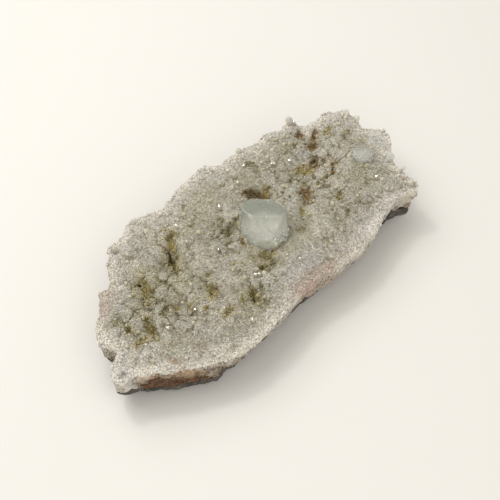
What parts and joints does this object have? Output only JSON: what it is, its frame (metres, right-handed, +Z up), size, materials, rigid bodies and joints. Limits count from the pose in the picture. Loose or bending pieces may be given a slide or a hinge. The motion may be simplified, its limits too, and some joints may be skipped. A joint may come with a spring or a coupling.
{
  "type": "apophyllite crystal cluster",
  "caption": "Mineral specimen: pale druse of small pointed apophyllite crystals on a dark basalt slab, with a large blocky crystal near its middle.",
  "frame": {"origin": "under the middle of the whole specimen, on the surface it rests on", "axes": "+X along the specimen towards its right tip, +Y towards its higher far edge, +Z up"},
  "size_m": [0.1852, 0.0868, 0.0363],
  "materials": {
    "basalt": "broken basalt, rough and matt",
    "druse": "white to pale green translucent crystals with glassy faces, stained olive brown in the pits",
    "clear_crystal": "milky pale blue green crystal with glassy faces"
  },
  "bodies": {
    "root": {"matrix": "basalt", "crystal_crust": "druse", "large_crystal": "clear_crystal", "second_crystal": "clear_crystal"}
  },
  "joints": []
}
